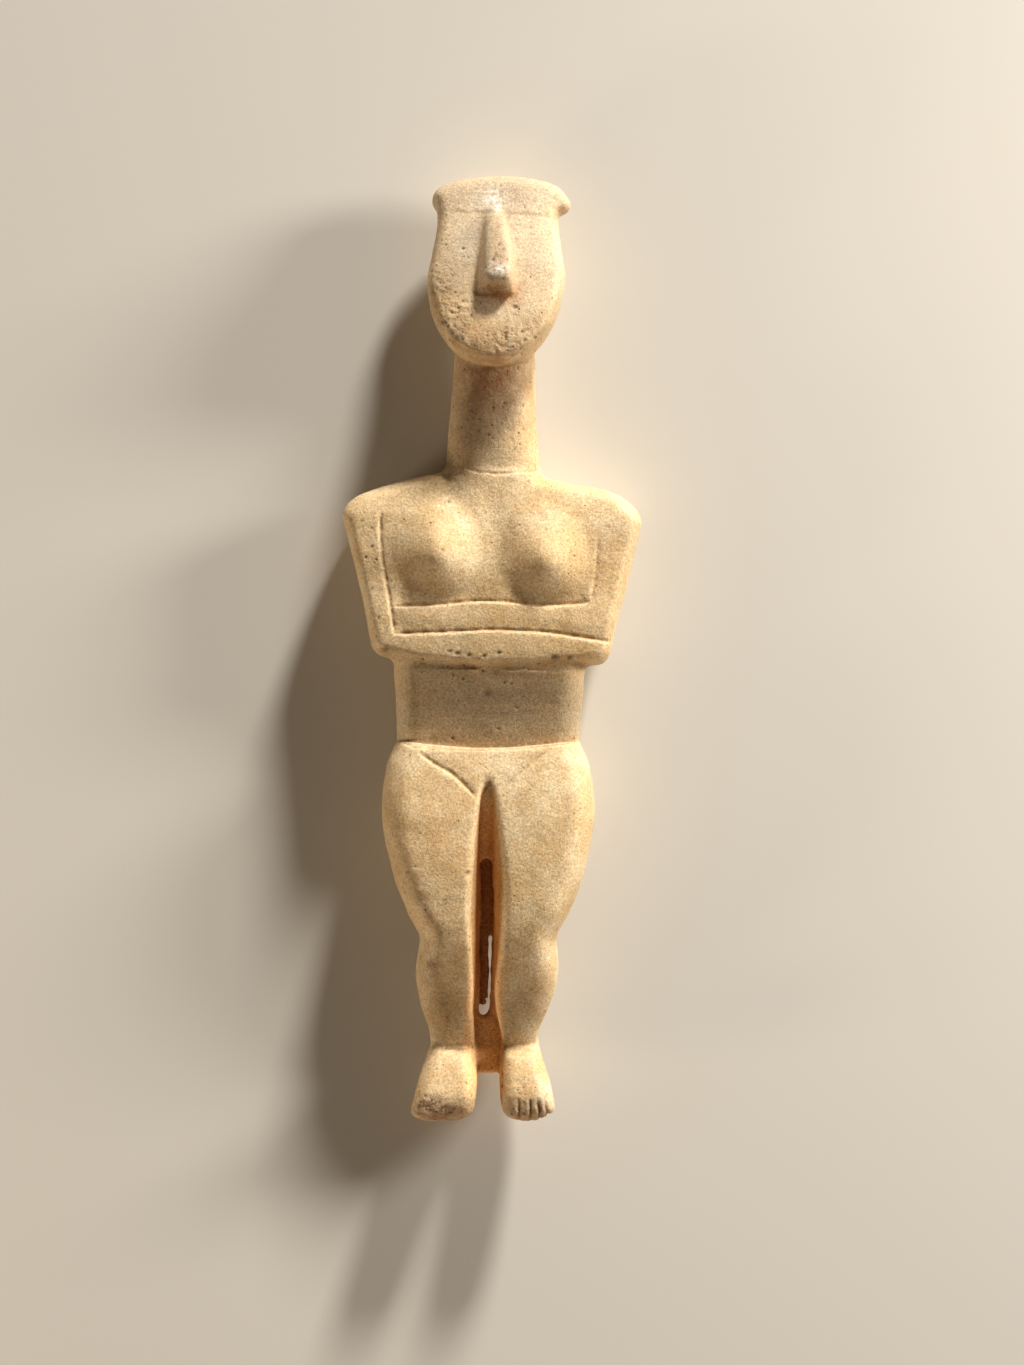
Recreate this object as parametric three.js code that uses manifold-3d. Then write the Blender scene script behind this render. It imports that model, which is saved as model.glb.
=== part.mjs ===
// Folded-arm marble figurine, carved from one slab and lying on its back. Millimetres.
// +Y runs from the toes to the crown, +Z from the back to the front, +X to the figure's left hand.
// The origin is under the middle of the figure, on the surface that it lies on.

import * as THREE from 'three';
import { mergeVertices } from 'three/addons/utils/BufferGeometryUtils.js';
import Module from 'manifold-3d';

const wasm = await Module();
wasm.setup();

// ---------- driving dimensions ----------
// A pair list reads [place along Y, value]; a smooth line runs through its points.
// "half" is the half width there, "front" and "back" are heights above the lying surface.

// The figure's middle line isn't quite straight: it leans to its left at the head.
const middleLine = [[-200, -3.9], [-168, -3.6], [-124, -1.8], [-14, -1.5], [4, -0.2], [56, 0],
  [125, 1], [200, 3.1]];

const head = {
  bottom: 119,
  top: 200,
  jawHalf: 28.7, // widest, across the cheeks
  jawY: 157,
  jawReach: 39.2, // the jaw is half an ellipse this long, cut a little short at the chin
  templeHalf: 25.6,
  templeY: 183,
  crestHalf: 27,
  crestY: 191, // the corners of the crest, which flare out
  crestSquare: 2.3,
  front: [[118, 54], [127, 52.5], [157, 43.5], [186, 34], [193, 30], [200, 25]],
  back: [[118, 9], [135, 6], [158, 3], [180, 3.5], [192, 9], [200, 17]],
  seam: [[118, 33], [130, 34], [157, 31], [186, 24], [200, 21]],
  frontEdge: 6,
  backEdge: 24,
  endEdge: 2.5,
  frontCrown: 3, // how far the face falls away from its middle to its sides
};

const crestKnob = {
  radius: 4,
  place: [26.1, 188.6, 22.5], // the figure's left corner of the crest is thicker, over a chip
};

const nose = {
  bottom: 147,
  top: 187,
  half: [[147, 6.6], [152, 7.6], [162, 6.2], [176, 3.9], [187, 1.6]],
  rise: [[147, 2], [151.5, 9], [156, 12], [162, 11.2], [176, 5.5], [187, 0.3]],
  root: 8, // how deep it is rooted in the face
  flank: 3.4,
};

const neck = {
  bottom: 58,
  top: 140,
  half: [[58, 21], [77, 19.9], [126, 17.1], [140, 17]],
  front: [[58, 31], [77, 33], [124, 36], [140, 37]],
  back: [[58, 2.5], [90, 5], [140, 7.5]],
  seam: 19,
  frontEdge: 16,
  endEdge: 0,
};

const trunk = {
  bottom: -8, // lower edge of the folded forearms, at the middle
  hemSag: 3.2, // and how much higher it is at the elbows
  shoulderHalf: 63.3,
  shoulderY: 54,
  shoulderRise: 18.6, // the shoulder line is a quarter ellipse from the neck to the upper arm
  neckHalf: 20,
  elbowHalf: 50.8,
  elbowY: 1,
  elbowRound: 6.5,
  front: [[-8, 41], [12, 41], [30, 38.5], [52, 36], [73, 32]],
  back: [[-8, 2.2], [14, 1], [34, -0.5], [58, -0.5], [73, 2]],
  seam: 19,
  frontEdge: 7.5,
  backEdge: 9,
  frontCrown: 2.2,
  backCrown: 3.2,
  tilt: -0.022, // the left shoulder and elbow sit lower than the right, as a rise per width
};

const breasts = { apart: 22.4, y: 41.5, radius: 15.5, rise: 6.5, root: 2 };

const belly = {
  bottom: -60,
  top: 34,
  half: [[-60, 38], [-40, 38.8], [-8, 40.3], [34, 41]],
  front: [[-60, 27.5], [-42, 29.2], [-24, 33.2], [-8, 36], [34, 35]],
  back: [[-60, 1], [-30, 3], [-8, 2.2], [14, 1], [34, 0.2]],
  seam: 18,
  frontEdge: 7,
  backEdge: 10,
  endEdge: 0,
  frontCrown: 2,
  backCrown: 2,
};

const legs = {
  bottom: -181,
  top: -39.5,
  half: [[-181, 16], [-174, 20.5], [-169, 22.2], [-162, 23.4], [-150, 27.9], [-137, 30.3], [-128, 29.4],
    [-123.5, 28.9], [-112, 34.2], [-92, 41.3], [-68, 45.1], [-50, 43.1], [-39.5, 38.6]],
  front: [[-181, 24], [-169, 26.5], [-150, 31.4], [-136, 36.8], [-122, 41.6], [-112, 43.4], [-95, 44],
    [-74, 42.6], [-60, 40.2], [-48, 37], [-39.5, 34.2]],
  back: [[-181, 13], [-169, 11.5], [-150, 6], [-138, 5], [-124, 8.5], [-100, 3.5], [-76, -0.5],
    [-56, -0.5], [-39.5, 2.5]],
  seam: 20,
  frontEdge: 19,
  backEdge: 20,
  endEdge: 3, // the step up from the belly
  frontCrown: 1.5,
  backCrown: 4,
};

const foot = {
  bottom: -200,
  top: -163,
  middle: [[-200, 19], [-184, 16.1], [-163, 13.3]], // from the figure's middle line to the foot's
  half: [[-200, 6.5], [-198.6, 9.4], [-195, 12], [-184, 11.5], [-170, 8.9], [-163, 8.3]],
  front: [[-200, 36.5], [-196, 38], [-189, 37], [-182, 34.8], [-174, 31], [-163, 27.5]],
  back: [[-200, 27.5], [-194, 21.5], [-186, 14], [-180, 9.5], [-172, 8.5], [-163, 11]],
  seam: [[-200, 32], [-184, 24], [-163, 18.5]],
  frontEdge: 6,
  endEdge: 3,
  widths: [1.08, 0.94], // the figure's right foot is the broader one
  shifts: [-0.9, 0.8], // and stands closer to the middle line
};

// The legs are parted by a cleft in front and one behind. A web of stone is left between the two,
// and it is hollowed and broken through along its lower half.
const frontCleft = {
  bottom: -190,
  top: -58,
  half: [[-190, 8.4], [-170, 8], [-118, 8.8], [-95, 8], [-73, 6], [-64, 3.6], [-58, 1]],
  floor: [[-190, 21], [-120, 22], [-90, 23], [-72, 31], [-58, 40.5]],
  surface: 43,
  floorHalf: 2.8,
};

const backCleft = {
  bottom: -190,
  top: -46,
  half: [[-190, 6.5], [-150, 6.2], [-110, 5.5], [-70, 3.4], [-46, 1]],
  floor: [[-190, 15], [-120, 14.5], [-84, 11], [-62, 5.5], [-46, 1.5]],
  surface: 0,
  floorHalf: 1.4,
};

const slot = { top: -89.5, bottom: -157, half: 2.7, floor: 17.5 };
const breach = { top: -124, bottom: -156, half: 1.3, shift: 1 };

// Incised lines, as [x, y] points on the front or back. x is from the figure's middle line.
const cut = { half: 1.5, depth: 1.4, above: 1, taper: 4, step: 7 };
const frontLines = {
  collar: [[-17.5, 76.6], [0, 74.2], [19, 76.6]],
  rightArm: [[-48, 56.5], [-46, 38], [-42, 20], [-40.5, 6.5]],
  leftArm: [[46, 46], [44.6, 33], [43, 20]],
  upperForearm: [[-41, 18.4], [-4, 20.4], [20, 18.6], [42.5, 20]],
  lowerForearm: [[-41.5, 6.4], [-18, 7.2], [0, 8], [22, 7.1], [40, 4.8], [47, 3.4]],
  rightGroin: [[-27, -45.5], [-17, -53.5], [-6, -62.5]],
  leftGroin: [[24.5, -44], [14.5, -52.5], [3.6, -61.5]],
};
const backLines = {
  spine: [[0, 64], [0.6, 20], [-0.5, -30], [0, -48]],
  rightArm: [[-46, 57], [-43, 36], [-38, 14]],
  leftArm: [[46, 57], [43, 36], [38, 14]],
};
const toes = { count: 5, top: -191.5, depth: 1.5, half: 0.9 };

const rowGap = 10; // longest step between two cross sections
const acrossCount = 18; // points across one side of a cross section

// ---------- curves ----------

// A smooth line through [place, value] pairs that never overshoots them (monotone cubic).
// A plain number stands for a level line.
function line(pairs) {
  if (typeof pairs === 'number') return () => pairs;
  const points = [...pairs].sort((a, b) => a[0] - b[0]);
  const last = points.length - 1;
  const slopes = [];
  for (let i = 0; i < last; i += 1) {
    slopes.push((points[i + 1][1] - points[i][1]) / (points[i + 1][0] - points[i][0]));
  }
  const tangents = points.map((_, i) => {
    if (i === 0) return slopes[0];
    if (i === last) return slopes[last - 1];
    if (slopes[i - 1] * slopes[i] <= 0) return 0;
    return (2 * slopes[i - 1] * slopes[i]) / (slopes[i - 1] + slopes[i]);
  });
  return (place) => {
    if (place <= points[0][0]) return points[0][1];
    if (place >= points[last][0]) return points[last][1];
    let i = 0;
    while (place > points[i + 1][0]) i += 1;
    const step = points[i + 1][0] - points[i][0];
    const t = (place - points[i][0]) / step;
    const keep = (1 + 2 * t) * (1 - t) ** 2;
    const rise = t * t * (3 - 2 * t);
    const leave = t * (1 - t) ** 2 * step * tangents[i];
    const arrive = t * t * (t - 1) * step * tangents[i + 1];
    return keep * points[i][1] + rise * points[i + 1][1] + leave + arrive;
  };
}

// The share of its full size that a rounded end still has at a share t of the way out to its tip.
function rounded(t, exponent = 2) {
  const inside = 1 - Math.min(1, Math.abs(t)) ** exponent;
  return Math.max(0, inside) ** (1 / exponent);
}

function headHalf(y) {
  if (y < head.jawY) return head.jawHalf * rounded((head.jawY - y) / head.jawReach);
  const sides = line([
    [head.jawY, head.jawHalf],
    [head.templeY, head.templeHalf],
    [head.crestY, head.crestHalf],
  ]);
  const top = rounded(Math.max(0, y - head.crestY) / (head.top - head.crestY), head.crestSquare);
  return sides(y) * top;
}

function trunkHalf(y) {
  if (y > trunk.shoulderY) {
    const reach = trunk.shoulderHalf - trunk.neckHalf;
    return trunk.neckHalf + reach * rounded((y - trunk.shoulderY) / trunk.shoulderRise);
  }
  const taper = (trunk.shoulderHalf - trunk.elbowHalf) / (trunk.shoulderY - trunk.elbowY);
  const arm = trunk.shoulderHalf - taper * (trunk.shoulderY - y);
  const elbowFoot = trunk.bottom + trunk.hemSag;
  const roundFrom = elbowFoot + trunk.elbowRound;
  const elbow = arm - trunk.elbowRound * (1 - rounded(Math.max(0, roundFrom - y) / trunk.elbowRound));
  if (y >= elbowFoot) return elbow;
  return (trunk.elbowHalf - trunk.elbowRound) * Math.sqrt(Math.max(0, y - trunk.bottom) / trunk.hemSag);
}

// ---------- solids ----------

function solidOf(geometry) {
  const bare = geometry.clone();
  bare.deleteAttribute('normal');
  bare.deleteAttribute('uv');
  const merged = mergeVertices(bare, 1e-4);
  const vertProperties = new Float32Array(merged.attributes.position.array);
  const triVerts = new Uint32Array(merged.index.array);
  return new wasm.Manifold(new wasm.Mesh({ numProp: 3, vertProperties, triVerts }));
}

function signedVolume(positions, triangles) {
  const corner = (k) => new THREE.Vector3().fromArray(positions, 3 * triangles[k]);
  let volume = 0;
  for (let k = 0; k < triangles.length; k += 3) {
    volume += corner(k).dot(corner(k + 1).cross(corner(k + 2))) / 6;
  }
  return volume;
}

// Skins a row of closed rings, each an array of Vector3 with the same count, and caps both ends.
function loft(rings) {
  const count = rings[0].length;
  const points = rings.flat();
  const positions = points.flatMap((point) => point.toArray());
  const triangles = [];
  for (let row = 0; row < rings.length - 1; row += 1) {
    for (let i = 0; i < count; i += 1) {
      const [a, b] = [row * count + i, row * count + ((i + 1) % count)];
      const [c, d] = [b + count, a + count];
      const [toB, toC, toD] = [b, c, d].map((k) => points[k].clone().sub(points[a]));
      const twist = toB.cross(toD).dot(toC);
      // Each four-sided patch folds along the diagonal that stands out.
      triangles.push(...(twist > 0 ? [a, b, c, a, c, d] : [a, b, d, b, c, d]));
    }
  }
  const lastRing = (rings.length - 1) * count;
  for (const first of [0, lastRing]) {
    const hub = positions.length / 3;
    const middle = new THREE.Vector3();
    rings[first / count].forEach((point) => middle.addScaledVector(point, 1 / count));
    positions.push(...middle.toArray());
    for (let i = 0; i < count; i += 1) {
      const pair = [first + i, first + ((i + 1) % count)];
      if (first === 0) pair.reverse();
      triangles.push(hub, ...pair);
    }
  }
  if (signedVolume(positions, triangles) < 0) triangles.reverse();
  const geometry = new THREE.BufferGeometry();
  geometry.setAttribute('position', new THREE.Float32BufferAttribute(positions, 3));
  geometry.setIndex(triangles);
  return solidOf(geometry);
}

// Distance from a place to the nearest point on the sides of an outline of half widths.
function outlineInset(half, bottom, top) {
  const pieces = 90;
  const border = [];
  for (let i = 0; i <= pieces; i += 1) {
    const y = bottom + ((top - bottom) * (1 - Math.cos((Math.PI * i) / pieces))) / 2;
    border.push(new THREE.Vector2(half(y), y));
  }
  return (x, y) => {
    const place = new THREE.Vector2(Math.abs(x), y);
    let nearest = Infinity;
    for (let i = 0; i < border.length - 1; i += 1) {
      const span = border[i + 1].clone().sub(border[i]);
      const reach = place.clone().sub(border[i]);
      const t = THREE.MathUtils.clamp(reach.dot(span) / Math.max(span.lengthSq(), 1e-9), 0, 1);
      nearest = Math.min(nearest, reach.addScaledVector(span, -t).length());
    }
    return nearest;
  };
}

// A slab is a flat body with rounded edges. Seen from the front it fills an outline of half widths,
// and its front and back each curve down to a seam that runs round that outline.
function slab(part) {
  const half = typeof part.half === 'function' ? part.half : line(part.half);
  const front = line(part.front);
  const back = line(part.back);
  const seam = line(part.seam);
  const middle = line(part.middle ?? 0);
  const tilt = part.tilt ?? 0;
  const edges = { front: part.frontEdge, back: part.backEdge ?? part.frontEdge, end: part.endEdge };
  const square = 2.2; // a little fuller than a round edge
  const inset = outlineInset(half, part.bottom, part.top);

  const turn = (distance, edge) => (distance < edge ? rounded(1 - distance / edge, square) : 1);
  const share = (x, y, edge) => {
    const toEnd = Math.min(y - part.bottom, part.top - y);
    return turn(inset(x, y), edge) * turn(toEnd, edges.end ?? edge);
  };
  const outward = (x, y) => (Math.abs(x) / Math.max(half(y), 1)) ** 2;
  const frontAt = (x, y) => {
    const full = front(y) - (part.frontCrown ?? 0) * outward(x, y);
    return seam(y) + (full - seam(y)) * share(x, y, edges.front);
  };
  const backAt = (x, y) => {
    const full = back(y) + (part.backCrown ?? 0) * outward(x, y);
    return seam(y) + (full - seam(y)) * share(x, y, edges.back);
  };

  const endGap = 0.3; // the end rings stand this far in, where the slab still has some thickness
  const rows = Math.ceil((part.top - part.bottom) / (part.rowGap ?? rowGap)) + 3;
  const count = part.across ?? acrossCount;
  const rings = [];
  for (let row = 0; row <= rows; row += 1) {
    const even = row / rows;
    const crowded = (1 - Math.cos(Math.PI * even)) / 2; // closer rows where the ends curve in
    const t = (even + crowded) / 2;
    const y = THREE.MathUtils.lerp(part.bottom + endGap, part.top - endGap, t);
    const ring = [];
    for (let i = 0; i < 2 * count; i += 1) {
      const x = -half(y) * Math.cos((Math.PI * i) / count);
      const surface = i < count ? frontAt : backAt;
      const z = i % count === 0 ? seam(y) : surface(x, y);
      ring.push(new THREE.Vector3(middle(y) + x, y + tilt * x, z));
    }
    rings.push(ring);
  }
  const covers = (x, y) => y > part.bottom && y < part.top && Math.abs(x) < half(y);
  const lookUp = (surface, outside) => (x, y) => {
    const [across, along] = [x - middle(y), y - tilt * x];
    return covers(across, along) ? surface(across, along) : outside;
  };
  return { solid: loft(rings), frontAt: lookUp(frontAt, -Infinity), backAt: lookUp(backAt, Infinity) };
}

// A wedge-shaped hollow along Y: wide at the surface, narrow at its floor, with flared edges.
function cleftCutter(cleft) {
  const half = line(cleft.half);
  const floor = line(cleft.floor);
  const outward = Math.sign(cleft.surface - floor(cleft.bottom));
  const levels = [0, 0.35, 0.7, 0.9, 1, 1.35];
  const rows = Math.ceil((cleft.top - cleft.bottom) / rowGap);
  const rings = [];
  for (let row = 0; row <= rows; row += 1) {
    const y = THREE.MathUtils.lerp(cleft.bottom, cleft.top, row / rows);
    const height = Math.abs(cleft.surface - floor(y)) + 1;
    const narrow = Math.min(cleft.floorHalf, half(y) * 0.6);
    const side = levels.map((t) => {
      const flare = 0.8 * t + 0.2 * t ** 5;
      return [narrow + (half(y) - narrow) * flare, floor(y) + outward * height * t];
    });
    const right = side.map(([x, z]) => new THREE.Vector3(x, y, z));
    const left = side.map(([x, z]) => new THREE.Vector3(-x, y, z)).reverse();
    rings.push([...left, ...right]);
  }
  return loft(rings);
}

// A round-ended hole or recess along Y, from the height low to the height high.
function slotCutter({ top, bottom, half, shift = 0 }, low, high) {
  const shape = new THREE.Shape();
  shape.absarc(shift, top - half, half, 0, Math.PI, false);
  shape.absarc(shift, bottom + half, half, Math.PI, 2 * Math.PI, false);
  const extrusion = { depth: high - low, bevelEnabled: false, curveSegments: 6 };
  const geometry = new THREE.ExtrudeGeometry(shape, extrusion);
  geometry.translate(0, 0, low);
  return solidOf(geometry);
}

// A three-sided cut that follows points on a surface and runs out at both ends.
// outward is 1 on the front and -1 on the back.
function incision(points, surface, outward = 1, { half, depth } = cut) {
  const route = new THREE.CatmullRomCurve3(points.map(([x, y]) => new THREE.Vector3(x, y, 0)));
  const length = route.getLength();
  const steps = Math.ceil(length / cut.step) + 2;
  const rings = [];
  for (let i = 0; i <= steps; i += 1) {
    const place = route.getPointAt(i / steps);
    const along = route.getTangentAt(i / steps);
    const toEnd = length * Math.min(i, steps - i) / steps;
    const share = THREE.MathUtils.clamp(toEnd / cut.taper, 0.25, 1);
    const level = surface(place.x, place.y);
    const across = new THREE.Vector3(-along.y, along.x, 0).multiplyScalar(half * (1 + cut.above / depth));
    const lip = place.clone().setZ(level + outward * (cut.above + depth * (1 - share)));
    rings.push([
      place.clone().setZ(level - outward * depth * share),
      lip.clone().add(across),
      lip.clone().sub(across),
    ]);
  }
  return loft(rings);
}

// ---------- the figure ----------

function makeHead() {
  const shield = slab({ ...head, half: headHalf, rowGap: 5 });
  const face = line(head.front);
  const rise = line(nose.rise);
  const ridge = slab({
    ...nose,
    front: nose.rise.map(([y]) => [y, face(y) + rise(y)]),
    back: nose.rise.map(([y]) => [y, face(y) - nose.root]),
    seam: nose.rise.map(([y]) => [y, face(y) - 1.5]),
    frontEdge: nose.flank,
    rowGap: 5,
    across: 8,
  });
  const knob = new THREE.SphereGeometry(crestKnob.radius, 10, 7);
  knob.translate(...crestKnob.place);
  return shield.solid.add(ridge.solid).add(solidOf(knob));
}

function makeTrunk() {
  const top = trunk.shoulderY + trunk.shoulderRise;
  return slab({ ...trunk, top, half: trunkHalf });
}

// A low mound that flares out into the chest, turned from a bell-shaped profile.
function makeBreast(side) {
  const steps = 6;
  const profile = [new THREE.Vector2(0, -breasts.root), new THREE.Vector2(breasts.radius, -breasts.root)];
  for (let i = steps; i >= 0; i -= 1) {
    const away = i / steps;
    profile.push(new THREE.Vector2(breasts.radius * away, breasts.rise * (1 - away ** 2) ** 1.6));
  }
  const mound = new THREE.LatheGeometry(profile, 18);
  mound.rotateX(Math.PI / 2);
  const surface = line(trunk.front)(breasts.y) - trunk.frontCrown * (breasts.apart / trunk.shoulderHalf) ** 2;
  mound.translate(side * breasts.apart, breasts.y, surface - 0.6);
  return solidOf(mound);
}

// One foot. side is -1 for the right one and 1 for the left one.
function makeFoot(side, width, shift) {
  const half = foot.half.map(([y, value]) => [y, value * width]);
  const middle = foot.middle.map(([y, value]) => [y, side * (value + shift)]);
  return slab({ ...foot, half, middle, across: 10, rowGap: 7 });
}

// Short cuts between the toes, on the better kept foot.
function toeRoutes(side) {
  const middle = side * (foot.middle[0][1] + foot.shifts[1]);
  const half = foot.half[3][1] * foot.widths[1];
  const routes = [];
  for (let i = 1; i < toes.count; i += 1) {
    const x = middle + half * (2 * i / toes.count - 1);
    routes.push([[x, toes.top], [x, foot.bottom + 0.4]]);
  }
  return routes;
}

function makeFigure() {
  const neckBlock = slab({ ...neck, rowGap: 12, across: 14 });
  const trunkBlock = makeTrunk();
  const bellyBlock = slab({ ...belly, rowGap: 18 });
  const legBlock = slab(legs);
  const rightFoot = makeFoot(-1, foot.widths[0], foot.shifts[0]);
  const leftFoot = makeFoot(1, foot.widths[1], foot.shifts[1]);

  const legPair = legBlock.solid.subtract(cleftCutter(frontCleft)).subtract(cleftCutter(backCleft))
    .subtract(slotCutter(slot, slot.floor, frontCleft.surface))
    .subtract(slotCutter(breach, backCleft.surface, frontCleft.surface));
  let figure = makeHead().add(neckBlock.solid).add(trunkBlock.solid).add(makeBreast(-1)).add(makeBreast(1))
    .add(bellyBlock.solid).add(legPair).add(rightFoot.solid).add(leftFoot.solid);

  const blocks = [neckBlock, trunkBlock, bellyBlock, legBlock, rightFoot, leftFoot];
  const frontSkin = (x, y) => Math.max(...blocks.map((block) => block.frontAt(x, y)));
  const backSkin = (x, y) => Math.min(...blocks.map((block) => block.backAt(x, y)));
  for (const route of Object.values(frontLines)) figure = figure.subtract(incision(route, frontSkin, 1));
  for (const route of Object.values(backLines)) figure = figure.subtract(incision(route, backSkin, -1));
  for (const route of toeRoutes(1)) figure = figure.subtract(incision(route, frontSkin, 1, toes));

  // What would stand below the lying surface is taken off flat: the shoulder blades and the buttocks.
  const below = new THREE.BoxGeometry(2 * trunk.shoulderHalf + 20, head.top - foot.bottom + 20, 20);
  below.translate(0, 0, -10);
  return figure.subtract(solidOf(below));
}

// Leans the figure along its middle line and sets it over the origin.
function placed(solid) {
  const lean = line(middleLine);
  const { vertProperties, triVerts, numProp } = solid.getMesh();
  const positions = [];
  for (let i = 0; i < vertProperties.length; i += numProp) {
    const [x, y, z] = vertProperties.subarray(i, i + 3);
    positions.push(x + lean(y), y, z);
  }
  const geometry = new THREE.BufferGeometry();
  geometry.setAttribute('position', new THREE.Float32BufferAttribute(positions, 3));
  geometry.setIndex(Array.from(triVerts));
  geometry.computeBoundingBox();
  const centre = geometry.boundingBox.getCenter(new THREE.Vector3());
  geometry.translate(-centre.x, -centre.y, -geometry.boundingBox.min.z);
  geometry.computeVertexNormals();
  return geometry;
}

const marble = new THREE.MeshStandardMaterial({ color: 0xc9ab7c, roughness: 0.62, metalness: 0 });
const figurine = new THREE.Mesh(placed(makeFigure()), marble);
figurine.name = 'figurine';

const model = new THREE.Group();
model.add(figurine);

export default model;
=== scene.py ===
import math

import bpy
import numpy as np
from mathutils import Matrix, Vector, kdtree, noise


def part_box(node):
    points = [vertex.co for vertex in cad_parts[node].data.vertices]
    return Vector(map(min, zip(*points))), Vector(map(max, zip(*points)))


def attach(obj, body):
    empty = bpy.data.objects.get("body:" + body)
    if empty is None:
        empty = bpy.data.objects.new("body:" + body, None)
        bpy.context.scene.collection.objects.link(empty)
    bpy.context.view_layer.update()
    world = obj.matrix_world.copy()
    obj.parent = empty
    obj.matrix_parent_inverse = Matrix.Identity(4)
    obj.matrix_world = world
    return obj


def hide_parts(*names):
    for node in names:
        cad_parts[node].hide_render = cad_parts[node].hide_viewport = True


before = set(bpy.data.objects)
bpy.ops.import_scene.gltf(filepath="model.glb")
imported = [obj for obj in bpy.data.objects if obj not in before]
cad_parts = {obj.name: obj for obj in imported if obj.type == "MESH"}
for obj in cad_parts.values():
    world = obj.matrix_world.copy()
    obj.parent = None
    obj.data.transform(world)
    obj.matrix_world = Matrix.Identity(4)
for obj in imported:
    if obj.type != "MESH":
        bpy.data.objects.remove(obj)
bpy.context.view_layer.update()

# Folded-arm marble figurine, lying on its back: +Y is the head end, +Z its front and +X its left hand.
# The stone's sizes are in millimetres on a figure about 400 long, scaled once to the loaded part's box.
# Pair lists read [place along Y, value]; "half" is a half width, "front" and "back" are heights.
figureLow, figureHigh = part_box("figurine")
carvedLength = 399.4
metre = (figureHigh.y - figureLow.y) / carvedLength  # one of the script's millimetres, in metres
print("loaded the frame, one millimetre is", round(metre, 7), "m")

mesher = {
    "step": 0.6,  # spacing of the field that the stone is meshed from
    "low": (-67, -203, -1.5),
    "high": (67, 203, 58),
    "triangles": 190000,
}

# The middle line isn't quite straight: it leans to the figure's left at the head.
middleLine = [[-200, -3.9], [-168, -3.6], [-124, -1.8], [-14, -1.5], [4, -0.2], [56, 0], [125, 1],
              [200, 3.1]]


def curve(pairs):
    # smooth line through the pairs that never overshoots them; a plain number is a level line
    if not isinstance(pairs, list):
        return lambda place: np.full(np.shape(place), pairs, np.float32)
    places, values = np.array(sorted(pairs), np.float32).T
    slopes = np.diff(values) / np.diff(places)
    product, total = slopes[:-1] * slopes[1:], slopes[:-1] + slopes[1:]
    inner = np.where(product > 0, 2 * product / np.where(total == 0, 1, total), 0)
    tangents = np.concatenate([slopes[:1], inner, slopes[-1:]])

    def along(place):
        place = np.clip(place, places[0], places[-1])
        i = np.clip(np.searchsorted(places, place, side="right") - 1, 0, len(slopes) - 1)
        step = places[i + 1] - places[i]
        t = (place - places[i]) / step
        bend = t * (1 - t) * step * ((1 - t) * tangents[i] - t * tangents[i + 1])
        return (1 + 2 * t) * (1 - t) ** 2 * values[i] + t * t * (3 - 2 * t) * values[i + 1] + bend
    return along


def rounded(t, power=2.0):
    # the share of its full width that a rounded end keeps at a share t of the way to its tip
    return np.clip(1 - np.clip(np.abs(t), 0, 1) ** power, 0, None) ** (1 / power)


def bump(x, y, place, reach, power=2.0):
    # 1 at the place, fading to nothing a little past its reach in x and y
    away = ((x - place[0]) / reach[0]) ** 2 + ((y - place[1]) / reach[1]) ** 2
    return np.exp(-away ** (power / 2))


def step(value, low, high):
    t = np.clip((value - low) / (high - low), 0, 1)
    return t * t * (3 - 2 * t)


def joined(a, b, blend):
    # two distances as one solid, with a fillet where they meet
    h = np.clip(0.5 + 0.5 * (b - a) / blend, 0, 1)
    return b + (a - b) * h - blend * h * (1 - h)


def carved(a, b, blend):
    return -joined(-a, b, blend)


headShape = {
    "bottom": 117.8, "top": 200,
    "jawHalf": 28.7, "jawY": 157, "jawReach": 39.2, "jawSquare": 2.12,  # the jaw is half an ellipse
    "templeHalf": 25.5, "templeY": 181,
    "crestHalf": 27.6, "crestY": 191, "crestSquare": 2.3,  # the crest flares out at its corners
    "front": [[118, 54], [126, 53], [157, 43.5], [182.5, 35], [187, 33.2], [193, 30.9], [200, 27.8]],
    "back": [[118, 9], [135, 6], [158, 3], [180, 3.5], [192, 9], [200, 17]],
    "seam": [[118, 33], [130, 34], [157, 31], [186, 24], [200, 21]],
    "frontEdge": 4.5, "backEdge": 24, "frontCrown": 1.8, "ease": (11, 1.4),
}


def headHalf(y):
    h = headShape
    jaw = h["jawHalf"] * rounded((h["jawY"] - y) / h["jawReach"], h["jawSquare"])
    places = [[h["jawY"], h["jawHalf"]], [h["templeY"], h["templeHalf"]], [h["crestY"], h["crestHalf"]]]
    sides = curve(places)(y)
    top = rounded(np.maximum(0, y - h["crestY"]) / (h["top"] - h["crestY"]), h["crestSquare"])
    return np.where(y < h["jawY"], jaw, sides * top)


noseShape = {
    "bottom": 144.5, "top": 188,
    "middle": [[146, 0.7], [157, 1.1], [186, -1.5]],
    "ridge": [[146, 4.4], [153, 4.7], [158, 4.8], [169, 4.3], [181, 2.8], [187, 1.6]],
    "rightFlank": [[146, 4.6], [158, 4.2], [176, 2.2], [187, 1.0]],  # the flank on its right spreads more
    "leftFlank": [[146, 2.6], [158, 1.9], [176, 1.3], [187, 0.8]],
    "rise": [[144.5, -2.5], [146.6, 1.2], [149, 5.2], [152.5, 10.4], [155.5, 11.8], [162, 11.2], [176, 6.0],
             [184, 2.2], [188, -1.5]],
    "root": 6, "edge": 1.8,
}

crestKnobs = [  # the corners of the crest are thicker than its edge
    {"place": (26.5, 187.6, 22), "radius": 3.9, "tall": 1.4},
    {"place": (-24.9, 189.2, 20), "radius": 2.9, "tall": 1.4},
]

neckShape = {
    "bottom": 58, "top": 140,
    "half": [[58, 21], [77, 19.9], [126, 17.1], [140, 17]],
    "front": [[58, 31], [77, 33], [124, 36], [140, 37]],
    "back": [[58, 2.5], [90, 5], [140, 7.5]],
    "seam": 17, "frontEdge": 18.5, "backEdge": 15,
}

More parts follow.
